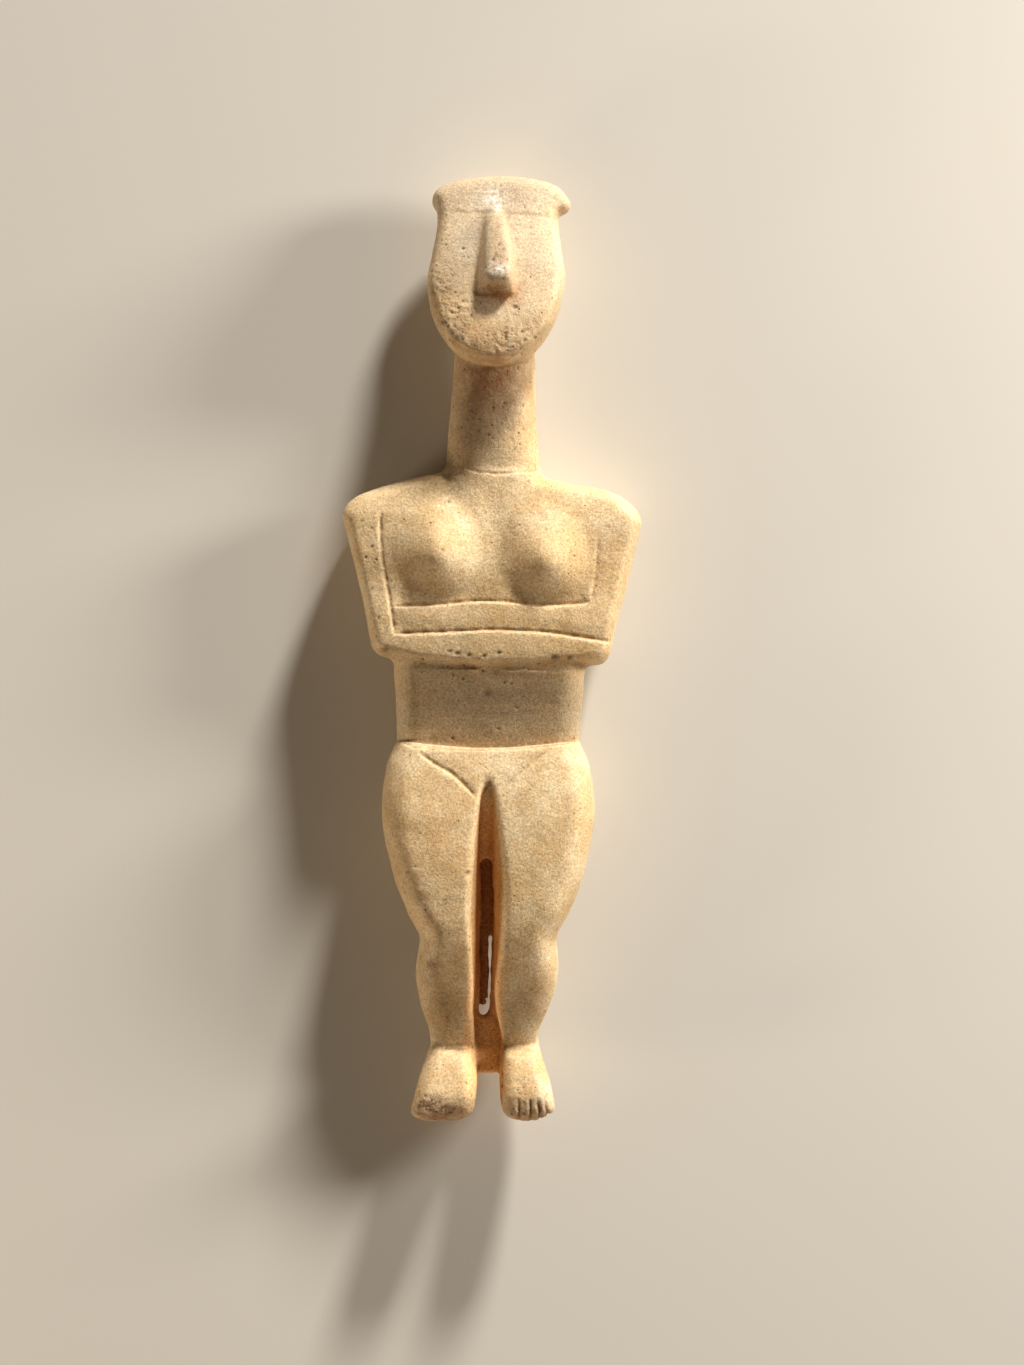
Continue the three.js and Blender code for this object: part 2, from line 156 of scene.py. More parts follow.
trunkShape = {
    "bottom": -9.3, "hemSag": 4.5,  # the forearms' lower edge, which rises to the elbows
    "shoulderHalf": 63.3, "shoulderY": 54, "shoulderRise": 18.6, "neckHalf": 20,
    "elbowHalf": 50.8, "elbowY": 1, "elbowRound": 5.5,
    "front": [[-9.3, 41.6], [-2, 42.2], [6, 42], [18, 40.6], [30, 39], [52, 36.6], [73, 32]],
    "back": [[-8, 2.2], [14, 1], [34, -0.5], [58, -0.5], [73, 2]],
    "seam": 19, "frontEdge": 5.5, "backEdge": 10, "frontCrown": 2.6, "backCrown": 3.2, "ease": (22, 1.0),
    "tilt": -0.022,  # the left shoulder and elbow sit lower than the right
}
trunkShape["top"] = trunkShape["shoulderY"] + trunkShape["shoulderRise"]


def trunkHalf(y):
    t = trunkShape
    reach = t["shoulderHalf"] - t["neckHalf"]
    shoulder = t["neckHalf"] + reach * rounded(np.maximum(0, y - t["shoulderY"]) / t["shoulderRise"])
    taper = (t["shoulderHalf"] - t["elbowHalf"]) / (t["shoulderY"] - t["elbowY"])
    foot = t["bottom"] + t["hemSag"]
    turn = rounded(np.maximum(0, foot + t["elbowRound"] - y) / t["elbowRound"])
    arm = t["shoulderHalf"] - taper * (t["shoulderY"] - y) - t["elbowRound"] * (1 - turn)
    hem = (t["elbowHalf"] - t["elbowRound"]) * np.sqrt(np.clip((y - t["bottom"]) / t["hemSag"], 0, 1))
    return np.where(y > t["shoulderY"], shoulder, np.where(y < foot, hem, arm))


breasts = [  # each slopes gently from above to a blunt tip and drops off below it
    {"place": (-23.0, 39.0), "across": 20, "above": 27, "below": 20, "rise": 9.0},
    {"place": (22.4, 37.0), "across": 20, "above": 27, "below": 19.5, "rise": 9.0},
]
breastPoint = 1.6  # above 1, the slopes are hollow and steepest near the tip
breastTip = 0.34  # how blunt, as a share of its reach


chestTrough = {"place": (0, 56), "reach": (9, 14), "depth": 0.9}  # runs down from the neck


def trunkSwell(x, y):
    mounds = 0
    for breast in breasts:
        along = y - breast["place"][1]
        along = along / np.where(along > 0, breast["above"], breast["below"])
        away = np.hypot((x - breast["place"][0]) / breast["across"], along)
        away = (np.hypot(away, breastTip) - breastTip) / (math.hypot(1, breastTip) - breastTip)
        mounds = mounds + breast["rise"] * np.clip(1 - away, 0, None) ** breastPoint
    dip = chestTrough["depth"] * bump(x, y, chestTrough["place"], chestTrough["reach"])
    return mounds - dip


bellyShape = {
    "bottom": -60, "top": 34,
    "half": [[-60, 38], [-40, 38.8], [-8, 40.3], [34, 41]],
    "front": [[-60, 26.5], [-42, 29.2], [-24, 33.2], [-8, 36.4], [34, 36]],
    "back": [[-60, 1], [-30, 3], [-8, 2.2], [14, 1], [34, 0.2]],
    "seam": 17, "frontEdge": 12, "backEdge": 10, "frontCrown": 1.6, "backCrown": 2,
}

legShape = {
    "bottom": -181, "top": -37.8,
    "half": [[-181, 16], [-174, 20.5], [-169, 22.2], [-162, 23.4], [-150, 27.9], [-137, 30.3], [-128, 29.4],
             [-123.5, 28.9], [-112, 34.2], [-92, 41.3], [-68, 45.1], [-50, 43.1], [-37.8, 38.2]],
    "front": [[-181, 17.5], [-169, 23.2], [-150, 31.2], [-136, 36.8], [-129, 39.3], [-122, 41.6],
              [-114, 43.3], [-98, 44], [-74, 42.6], [-60, 40.2], [-48, 37], [-37.8, 33.4]],
    "back": [[-181, 13], [-169, 11.5], [-150, 6], [-138, 5], [-124, 8.5], [-100, 3.5], [-76, -0.5],
             [-56, -0.5], [-37.8, 2.5]],
    "seam": 20, "frontEdge": 12, "backEdge": 20, "endEdge": 2.2, "frontCrown": 0.6, "backCrown": 4,
    "ease": (22, 0.5),
    "topBow": 3.4,  # the step up from the belly hangs lower at the middle
    "crownPerLeg": 1.5, "legMiddle": [[-181, 14], [-124, 18], [-92, 22], [-60, 22]],
}


def legSwell(x, y):
    apart = curve(legShape["legMiddle"])(y)
    fall = ((np.abs(x) - apart) / apart) ** 2
    return -legShape["crownPerLeg"] * np.clip(fall, 0, 1.5) * step(y, -50, -75)


footShape = {
    "bottom": -199.3, "top": -160,
    "middle": [[-200, 19], [-184, 16.1], [-163, 13.3]],  # from the middle line to the middle of the foot
    "half": [[-200, 8.6], [-198.6, 10.8], [-194, 12.1], [-184, 11.5], [-170, 8.9], [-163, 8.3]],
    "front": [[-200, 33], [-196, 35.2], [-189, 36.2], [-182, 34.2], [-176, 31.4], [-171, 27.6], [-168, 22],
              [-160, 14]],
    "back": [[-200, 26], [-194, 20], [-186, 13], [-180, 9.5], [-172, 8.5], [-163, 11]],
    "seam": [[-200, 29.6], [-184, 23], [-163, 16]],
    "frontEdge": 7, "backEdge": 7, "endEdge": 4,
    "widths": {-1: 1.1, 1: 0.94}, "shifts": {-1: -0.9, 1: 1.5},
}

# The legs are parted by a cleft in front and one behind. The web left between them is hollowed by a niche
# and broken through along its lower half.
frontCleft = {
    "bottom": -190, "top": -52, "surface": 43, "leftLip": 0.4,
    "floorHalf": [[-190, 5.8], [-164, 5.6], [-152, 4.2], [-138, 2.7], [-52, 2.7]],
    "shift": [[-190, -2.2], [-164, -2.2], [-150, 0.4], [-136, 1.2], [-52, 1.2]],  # of its floor
    "half": [[-190, 8.2], [-170, 8.0], [-118, 8.3], [-95, 7.6], [-73, 5.4], [-62, 3.4], [-52, 0.8]],
    "floor": [[-190, 18], [-150, 21], [-120, 24], [-90, 25.5], [-72, 31], [-62, 35.5], [-52, 39.8]],
}
backCleft = {
    "bottom": -190, "top": -46, "surface": 0, "floorHalf": 1.4, "shift": 0, "leftLip": 0.2,
    "half": [[-190, 6.5], [-150, 6.2], [-110, 5.5], [-70, 3.4], [-46, 1]],
    "floor": [[-190, 15], [-120, 14.5], [-84, 11], [-62, 5.5], [-46, 1.5]],
}
niche = {"top": -88.6, "bottom": -156, "half": 2.6, "shift": -0.6, "floor": 17.2, "rough": 0.5}
breach = {"top": -122, "bottom": -153, "half": 0.55, "shift": 1.1, "floor": -5, "rough": 0.45}
breachFoot = {"top": -148.5, "bottom": -155.8, "half": 2.1, "shift": -0.8, "floor": -5, "rough": 0.5}
remnant = {"place": (-1.0, -150.5, 13), "radius": 1.5, "tall": 4}  # hangs into the wider foot of the breach

# Small pushes that take the outline off its mirror image: [place], reach, [push of the stone there].
nudges = [
    {"place": (-47, 70), "reach": 12, "push": (0, -1.2)},
    {"place": (36, 71), "reach": 8, "push": (0, -1.4)},
    {"place": (-24, 73), "reach": 7, "push": (0, 1.2)},
    {"place": (48, -6), "reach": 7, "push": (0.6, -1.6)},
    {"place": (-47, -4), "reach": 7, "push": (-0.6, 0.6)},
    {"place": (29, -198), "reach": 6, "push": (-0.8, 1.6)},
]


def insetOf(half, bottom, top, x, y):
    # distance in from an outline of half widths, negative outside it; open ends run on straight
    count = 110
    t = (1 - np.cos(np.linspace(0, math.pi, count))) / 2
    line = bottom + (top - bottom) * t
    widths = half(line)
    if widths[0] > 1:
        line, widths = np.append(line[0] - 20, line), np.append(widths[0], widths)
    if widths[-1] > 1:
        line, widths = np.append(line, line[-1] + 20), np.append(widths, widths[-1])
    across, near = np.abs(x), np.full(x.shape, 1e6, np.float32)
    for i in range(len(line) - 1):
        spanX, spanY = widths[i + 1] - widths[i], line[i + 1] - line[i]
        awayX, awayY = across - widths[i], y - line[i]
        share = np.clip((awayX * spanX + awayY * spanY) / (spanX ** 2 + spanY ** 2), 0, 1)
        near = np.minimum(near, (awayX - share * spanX) ** 2 + (awayY - share * spanY) ** 2)
    inside = across < half(np.clip(y, bottom, top))
    closed = ((widths[0] < 1) & (y < bottom)) | ((widths[-1] < 1) & (y > top))
    return np.where(inside & ~closed, 1, -1) * np.sqrt(near)


softCorner = 1.3  # above 1, a rounded edge leaves the surface more gently


def slabField(slab, x, y, z, half=None, swell=None):
    # distance to a flat body that fills an outline, with edges rounded down to a seam round its side
    reach, far = 9, 30.0
    half = half or curve(slab["half"])
    x = x - curve(slab.get("middle", 0))(y)
    y = y - slab.get("tilt", 0) * x
    widest = float(half(np.linspace(slab["bottom"], slab["top"], 60)).max())
    near = (y > slab["bottom"] - reach) & (y < slab["top"] + reach) & (np.abs(x) < widest + reach)
    near = near[:, 0]
    field = np.full((len(x), z.shape[1]), far, np.float32)
    x, y, z = x[near], y[near], z[near] if len(z) > 1 else z
    outward = (x / np.maximum(half(y), 1)) ** 2
    seam = curve(slab["seam"])(y)
    front = curve(slab["front"])(y) - slab.get("frontCrown", 0) * outward
    back = curve(slab["back"])(y) + slab.get("backCrown", 0) * outward
    if swell:
        front = front + swell(x, y)
    inset = insetOf(half, slab["bottom"], slab["top"], x, y)
    easeReach, easeDrop = slab.get("ease", (1, 0))
    front = front - easeDrop * np.clip(1 - inset / easeReach, 0, 1.2) ** 2
    bow = slab.get("topBow", 0) * np.clip(1 - outward, 0, 1)
    end = np.minimum(y - slab["bottom"], slab["top"] - bow - y)
    above = z >= seam
    sides = []
    for surface, edge in ((front, slab["frontEdge"]), (back, slab["backEdge"])):
        turn = np.clip(1 - inset / edge, 0, None) ** softCorner
        tip = np.clip(1 - end / slab["endEdge"], 0, None) if "endEdge" in slab else np.zeros_like(turn)
        sides.append([np.abs(surface - seam), turn, tip, np.full_like(turn, edge)])
    height, turn, tip, edge = (np.where(above, a, b).astype(np.float32) for a, b in zip(*sides))
    rise = np.abs(z - seam) / height
    full = np.sqrt(rise ** 2 + turn ** 2 + tip ** 2) + 1e-4
    bend = softCorner * turn ** (2 - 1 / softCorner) / edge
    slope = np.sqrt((rise / height) ** 2 + bend ** 2 + (tip / slab.get("endEdge", 1)) ** 2) / full
    field[near] = np.maximum((full - 1) / np.maximum(slope, 1e-3), -end)
    return field


def noseField(x, y, z):
    n = noseShape
    face = curve(headShape["front"])(y) - headShape["frontCrown"] * (x / 28) ** 2
    rise = curve(n["rise"])(y)
    ridge = curve(n["ridge"])(y)
    x = x - curve(n["middle"])(y)
    flank = np.where(x < 0, curve(n["rightFlank"])(y), curve(n["leftFlank"])(y))
    down = np.clip((face + rise - z) / np.maximum(rise, 1), 0, 3)
    side = (np.abs(x) - ridge - flank * down) / np.sqrt(1 + (flank / np.maximum(rise, 1)) ** 2)
    top = z - (face + rise - 0.7 * (x / ridge) ** 2)
    ends = np.maximum(y - n["top"], n["bottom"] - y)
    solid = -joined(-side, -top, n["edge"])
    return np.maximum(np.maximum(solid, ends), face - n["root"] - z)


def cleftField(cleft, x, y, z):
    half, floor = curve(cleft["half"])(y), curve(cleft["floor"])(y)
    t = np.clip((z - floor) / (cleft["surface"] - floor), 0, 1.4)
    narrow = np.minimum(curve(cleft["floorHalf"])(y), 0.75 * half)
    x = x + curve(cleft["shift"])(y) * np.minimum(half / 8, 1) * (1 - t)
    lip = np.where(x > 0, cleft["leftLip"], 0.15)  # how much of a wall's spread is left to its lip
    wall = np.abs(x) - narrow - (half - narrow) * ((1 - lip) * t + lip * t ** 3.5)
    under = (floor - z) * np.sign(cleft["surface"] - floor)
    ends = np.maximum(y - cleft["top"], cleft["bottom"] - y)
    return np.maximum(-joined(-wall, -under, 2.0), ends)


def slotField(slot, x, y, z):
    # a round-ended hole along Y with a broken, wavy wall
    wave = np.sin(0.31 * y + 0.22 * z) * np.sin(0.83 * y - 0.5) + 0.6 * np.sin(1.7 * y + 0.9 * z)
    x = x - slot["shift"] - slot["rough"] * 0.5 * np.sin(0.17 * y + 1.2)
    straight = np.clip(y, slot["bottom"] + slot["half"], slot["top"] - slot["half"])
    wall = np.hypot(x, y - straight) - slot["half"] + slot["rough"] * 0.4 * wave
    return np.maximum(wall, slot["floor"] - z)


def ballField(ball, x, y, z):
    x0, y0, z0 = ball["place"]
    return np.sqrt((x - x0) ** 2 + (y - y0) ** 2 + ((z - z0) / ball["tall"]) ** 2) - ball["radius"]


fillets = {  # radii where the parts of the stone run together
    "neck": 6, "knob": 3, "nose": 1.6, "chin": 1.6, "belly": 3.6, "cleft": 2.2, "slot": 0.7, "remnant": 0.8,
    "legs": 1.0, "foot": 1.4,
}


def figureField(x, y, z):
    # signed distance to the whole stone, for x and y of shape (n, 1) and z of shape (1, m) or (n, 1)
    x = x - curve(middleLine)(y)
    pushX = sum(n["push"][0] * bump(x, y, n["place"], (n["reach"],) * 2) for n in nudges)
    pushY = sum(n["push"][1] * bump(x, y, n["place"], (n["reach"],) * 2) for n in nudges)
    x, y = x - pushX, y - pushY
    stone = slabField(trunkShape, x, y, z, trunkHalf, trunkSwell)
    stone = joined(stone, slabField(neckShape, x, y, z), fillets["neck"])
    face = slabField(headShape, x, y, z, headHalf)
    for knob in crestKnobs:
        face = joined(face, ballField(knob, x, y, z), fillets["knob"])
    face = joined(face, noseField(x, y, z), fillets["nose"])
    stone = joined(stone, face, fillets["chin"])
    stone = joined(stone, slabField(bellyShape, x, y, z), fillets["belly"])
    legs = slabField(legShape, x, y, z, swell=legSwell)
    for cleft in (frontCleft, backCleft):
        legs = carved(legs, cleftField(cleft, x, y, z), fillets["cleft"])
    for slot in (niche, breach, breachFoot):
        legs = carved(legs, slotField(slot, x, y, z), fillets["slot"])
    legs = joined(legs, ballField(remnant, x, y, z), fillets["remnant"])
    stone = joined(stone, legs, fillets["legs"])
    for side in (-1, 1):
        foot = dict(footShape)
        foot["half"] = [[at, value * footShape["widths"][side]] for at, value in footShape["half"]]
        shift = footShape["shifts"][side]
        foot["middle"] = [[at, side * (value + shift)] for at, value in footShape["middle"]]
        stone = joined(stone, slabField(foot, x, y, z), fillets["foot"])
    return np.maximum(stone, -z)  # it lies on what would stand below the surface under it


def netOf(field, low, gap):
    # quads round the zero level: one point in each cell that the surface crosses
    inside = field < 0
    corners = [(i, j, k) for i in (0, 1) for j in (0, 1) for k in (0, 1)]
    size = [n - 1 for n in field.shape]
    count = np.zeros(size, np.uint8)
    for i, j, k in corners:
        count += inside[i:i + size[0], j:j + size[1], k:k + size[2]]
    active = (count > 0) & (count < 8)
    cells = np.argwhere(active)
    number = np.full(size, -1, np.int32)
    number[active] = np.arange(len(cells))
    total, hits = np.zeros((len(cells), 3)), np.zeros(len(cells))
    for axis in range(3):
        unit = np.eye(3, dtype=int)[axis]
        for start in [np.array(c) for c in corners if c[axis] == 0]:
            a = field[tuple((cells + start).T)].astype(float)
            b = field[tuple((cells + start + unit).T)].astype(float)
            crossed = (a < 0) != (b < 0)
            share = np.where(crossed, a / np.where(crossed, a - b, 1), 0)
            total += np.where(crossed[:, None], start + share[:, None] * unit, 0)
            hits += crossed
    points = (cells + total / hits[:, None]) * gap + np.array(low)
    quads = []
    for axis in range(3):
        ahead = np.take(inside, range(1, inside.shape[axis]), axis)
        behind = np.take(inside, range(inside.shape[axis] - 1), axis)
        edges = np.argwhere(ahead != behind)
        u, v = np.eye(3, dtype=int)[[(axis + 1) % 3, (axis + 2) % 3]]
        edges = edges[(edges[:, (axis + 1) % 3] > 0) & (edges[:, (axis + 2) % 3] > 0)]
        ring = np.stack([number[tuple((edges + way).T)] for way in (-u - v, -v, 0 * u, -u)], 1)
        leaving = inside[tuple(edges.T)]
        quads.append(np.where(leaving[:, None], ring, ring[:, ::-1]))
    return points, np.concatenate(quads)


def meshStone():
    low, high, gap = mesher["low"], mesher["high"], mesher["step"]
    axes = [np.arange(a, b, gap, dtype=np.float32) for a, b in zip(low, high)]
    x, y = (grid.reshape(-1, 1) for grid in np.meshgrid(axes[0], axes[1], indexing="ij"))
    field = figureField(x, y, axes[2][None, :]).reshape([len(a) for a in axes])
    points, quads = netOf(field, low, gap)
    for _ in range(2):  # settle each point on the surface itself
        x, y, z = (points[:, i:i + 1].astype(np.float32) for i in range(3))
        away = np.clip(figureField(x, y, z), -gap, gap)
        points = points - 0.9 * away * normalsOf(points, quads)
    points[:, 2] = np.maximum(points[:, 2], 0)
    return points, quads


def normalsOf(points, quads):
    p = points[quads]
    across = np.cross(p[:, 2] - p[:, 0], p[:, 3] - p[:, 1])
    total = np.zeros_like(points)
    for axis in range(3):
        for corner in range(4):
            total[:, axis] += np.bincount(quads[:, corner], across[:, axis], len(points))
    return total / np.maximum(np.linalg.norm(total, axis=1, keepdims=True), 1e-9)


def evened(points, quads, rounds, share=0.5):
    # draws each point towards its neighbours
    for _ in range(rounds):
        total, count = np.zeros_like(points), np.zeros(len(points))
        for a, b in ((0, 1), (1, 2), (2, 3), (3, 0)):
            for here, there in ((a, b), (b, a)):
                count += np.bincount(quads[:, here], minlength=len(points))
                for axis in range(3):
                    drawn = points[quads[:, there], axis]
                    total[:, axis] += np.bincount(quads[:, here], drawn, len(points))
        points = points + share * (total / np.maximum(count, 1)[:, None] - points)
    return points


def figurePlace(points):
    # where each point is across the figure, measured from its leaning middle line, and along it
    return points[:, 0] - curve(middleLine)(points[:, 1]), points[:, 1]


# Incised lines as [x, y] routes. Each is a cut with one soft side: the stone there falls gently to the cut
# over softReach, by soft. The soft side is on the left of the route, or on the right for a minus sign.
frontLines = {
    "collar": {"route": [[-12.5, 76.2], [-5, 74], [3.2, 73.4], [11.6, 74.2], [17.8, 75.3], [24, 77]],
               "half": 1.0, "depth": 0.3, "soft": 0.55, "softReach": 5},
    "chin": {"route": [[-23, 132], [-17.5, 127], [-10, 122.6], [-2, 121], [6, 120.6], [14, 122.8],
                       [21, 129]],
             "half": 1.1, "depth": 0.35, "soft": 0.15, "softReach": 3},
    "rightArm": {"route": [[-47, 57], [-46.7, 47], [-46, 38.3], [-42.5, 18.6], [-40.6, 5.8]],
                 "half": 1.1, "depth": 0.55, "soft": 0.6, "softReach": 6},
    "leftArm": {"route": [[45.3, 48], [44.4, 42.5], [43.4, 30], [41.6, 18.6]],
                "half": 1.5, "depth": 0.3, "soft": 0.15, "softReach": 4},
    "upperForearm": {"route": [[-41.6, 17.6], [-22, 18.5], [-4.4, 19.9], [8, 19.4], [19.4, 18.0],
                               [30, 18.3], [41.4, 19.3]],
                     "half": 1.1, "depth": 0.6, "soft": 1.2, "softReach": 6},
    "lowerForearm": {"route": [[-41.4, 6.0], [-18.2, 6.9], [-0.6, 7.7], [20.3, 6.9], [38.3, 4.4],
                               [51.5, 2.4]],
                     "half": 1.1, "depth": 0.7, "soft": 0.9, "softReach": 5},
    "hip": {"route": [[-37.5, -38.6], [-34, -40.4], [-30, -41.5], [-18, -42.2], [5, -41.8], [26, -40.5],
                      [34.3, -39.2], [40, -36.8]],
            "half": 1.2, "depth": 0.6, "soft": 0.3, "softReach": 4},
    "rightGroin": {"route": [[-29, -43.8], [-21.7, -48.7], [-15.1, -52.5], [-5, -62.3]],
                   "half": 1.4, "depth": 0.7, "soft": 0.4, "softReach": 4},
    "leftGroin": {"route": [[25.5, -42.4], [14.2, -51.2], [4, -61]],
                  "half": 1.3, "depth": 0.35, "soft": 0.15, "softReach": -4},
    "crest": {"route": [[-23, 184], [-12, 183], [-3.4, 182.6], [12, 182], [23.5, 181]],
              "half": 1.6, "depth": 0.18, "soft": 0.15, "softReach": -3},
    "crack": {"route": [[20.8, 189.6], [23.6, 189.3], [26.2, 187.6]],  # in the corner of the crest
              "half": 0.9, "depth": 0.4, "soft": 0.1, "softReach": 2},
    "rightAnkle": {"route": [[-21.5, -167], [-14, -169], [-6, -170.2]],
                   "half": 2.6, "depth": 0.35, "soft": 0.3, "softReach": 5},
    "leftAnkle": {"route": [[8.6, -171.6], [15, -170.8], [22.5, -168.4]],
                  "half": 2.6, "depth": 0.3, "soft": 0.3, "softReach": 4},
}
backLines = {
    "spine": {"route": [[0, 66], [0.6, 20], [-0.5, -30], [0, -50]],
              "half": 2.0, "depth": 1.4, "soft": 0.8, "softReach": 7},
    "rightArm": {"route": [[-46, 57], [-43, 36], [-38, 14]],
                 "half": 1.6, "depth": 1.2, "soft": 0.8, "softReach": 5},
    "leftArm": {"route": [[46, 57], [43, 36], [38, 14]],
                "half": 1.6, "depth": 1.2, "soft": 0.8, "softReach": -5},
    "waist": {"route": [[-36, -41], [-18, -44.5], [0, -45.5], [18, -44.5], [36, -41]],
              "half": 1.6, "depth": 0.7, "soft": 0.5, "softReach": 5},
    "rightKnee": {"route": [[-26, -124], [-15, -125.5], [-6, -124.5]],
                  "half": 2.2, "depth": 0.8, "soft": 0.5, "softReach": 5},
    "leftKnee": {"route": [[6, -124.5], [15, -125.5], [26, -124]],
                 "half": 2.2, "depth": 0.8, "soft": 0.5, "softReach": 5},
}
toeLines = {  # on the better kept foot
    "places": [[14.8, 15.6], [19.6, 20.4], [23.0, 24.2], [26.0, 28.0]],  # x at the start and at the tips
    "from": -188.5, "to": -200.5, "half": 1.1, "depth": 0.75,
}
for i, (startX, endX) in enumerate(toeLines["places"]):
    frontLines["toe" + str(i)] = {"route": [[startX, toeLines["from"]], [endX, toeLines["to"]]],
                                  "half": toeLines["half"], "depth": toeLines["depth"],
                                  "soft": 0.25, "softReach": 1.5, "wraps": True}


def routeOf(points, gap=0.6):
    points = np.array(points, float)
    along = np.append(0, np.cumsum(np.hypot(*np.diff(points, axis=0).T)))
    at = np.linspace(0, along[-1], int(along[-1] / gap) + 2)
    return np.stack([curve(np.stack([along, points[:, i]], 1).tolist())(at) for i in (0, 1)], 1), at


lowestFront, highestBack = 24, 20  # heights that part the front's surface from the back's


def incise(points, normals, line, facing):
    # how far each point is pushed in by one line, and how much of the cut it is in
    route, at = routeOf(line["route"])
    x, y = figurePlace(points)
    margin = abs(line["softReach"]) * 2
    faces = normals[:, 2] * facing > (-0.35 if line.get("wraps") else 0.25)
    near = faces & (x > route[:, 0].min() - margin) & (x < route[:, 0].max() + margin)
    near &= (y > route[:, 1].min() - margin) & (y < route[:, 1].max() + margin)
    near &= points[:, 2] > lowestFront if facing > 0 else points[:, 2] < highestBack
    near = np.flatnonzero(near)
    awayX, awayY = x[near, None] - route[:, 0], y[near, None] - route[:, 1]
    nearest = np.argmin(awayX ** 2 + awayY ** 2, 1)
    row = np.arange(len(near))
    awayX, awayY = awayX[row, nearest], awayY[row, nearest]
    tangent = np.gradient(route, axis=0)[nearest]
    tangent /= np.linalg.norm(tangent, axis=1, keepdims=True)
    side = tangent[:, 0] * awayY - tangent[:, 1] * awayX
    atEnd = (nearest == 0) | (nearest == len(route) - 1)
    distance = np.where(atEnd, np.hypot(awayX, awayY), np.abs(side))
    wander = 0.18 * np.sin(0.9 * at[nearest] + 1.3 * route[0, 0])
    taper = step(np.minimum(at, at[-1] - at)[nearest], -1.0, 4.5)
    wide = line["half"] * (1 + wander) * (0.5 + 0.5 * taper)
    cut = np.clip(1 - distance / wide, 0, 1) ** 1.2
    softSide = side * np.sign(line["softReach"]) > 0
    soft = np.exp(-(distance / np.where(softSide, abs(line["softReach"]), 0.5 * line["half"])) ** 2)
    push, dark = np.zeros(len(points)), np.zeros(len(points))
    push[near] = -taper * (line["depth"] * (1 + wander) * cut + line["soft"] * soft)
    dark[near] = taper * np.maximum(cut, 0.35 * soft * softSide) * min(1, line["depth"])
    return push, dark


# What time has done to the stone, as noise [size across, height] and as places with their reach in x and y.
weathering = {
    "firstRounds": 3,  # evens out the mesher's steps
    "nearRounds": 14, "farRounds": 50,  # how far round a point the surface is averaged to find its hollows
    "hollowAt": 0.35, "ridgeAt": 0.3, "shadeAt": 1.5,  # height from that average that counts in full
    "swell": [30, 0.45],
    "ripple": [9, 0.16],
    # the finish darkens small hollows, lightens ridges and lays painted shade in broad hollows
    "grain": [2.2, 0.05],
    "wornGrain": [1.7, 0.42],  # where the surface is eroded
    "pitAnywhere": 0.05, "pitEroded": 2.0, "pitSmoky": 1.6,  # how likely a pit is in each sort of place
    "pitSeed": 11, "pitCount": 460, "pitRadius": (0.4, 1.0), "pitDepth": (0.1, 0.4),
}
dentStretch = (1.25, 0.85)  # how far a dent's reach is stretched in x and y
dentStain, stainedReach = 0.9, 2  # how dark a dent is, if its reach is under the second number
dents = [  # [x, y] on the front, how far it reaches and how deep it goes
    {"place": (-1.0, -19.1), "reach": 1.6, "depth": 0.6, "stain": 0.3},  # the navel
    {"place": (-44.1, -0.7), "reach": 1.3, "depth": 0.5},
    {"place": (-13.9, -2.2), "reach": 1.0, "depth": 0.45},
    {"place": (-17.0, -1.4), "reach": 0.8, "depth": 0.4},
    {"place": (-9.0, -3.1), "reach": 0.9, "depth": 0.4},
    {"place": (-2.6, -3.4), "reach": 0.8, "depth": 0.4},
    {"place": (3.5, -2.0), "reach": 0.8, "depth": 0.5},
    {"place": (26.7, -3.8), "reach": 1.2, "depth": 0.5},
    {"place": (33.2, -4.0), "reach": 0.9, "depth": 0.4},
    {"place": (12.0, -25.0), "reach": 0.6, "depth": 0.4, "stain": 0.5},
    {"place": (4.1, -33.8), "reach": 0.6, "depth": 0.4, "stain": 0.5},
    {"place": (-15.2, -38.0), "reach": 0.7, "depth": 0.4, "stain": 0.6},
    {"place": (8.2, 141.4), "reach": 0.9, "depth": 0.5},
    {"place": (-8.4, -94), "reach": 1.0, "depth": 0.5, "stain": 0.6},
    {"place": (-24, -193), "reach": 3.0, "depth": 0.6},  # the worn toes of the right foot
    {"place": (-15, -195), "reach": 2.6, "depth": 0.6},
    {"place": (-9, -195), "reach": 2.2, "depth": 0.5},
    {"place": (-20, -189), "reach": 2.0, "depth": 0.4},
]
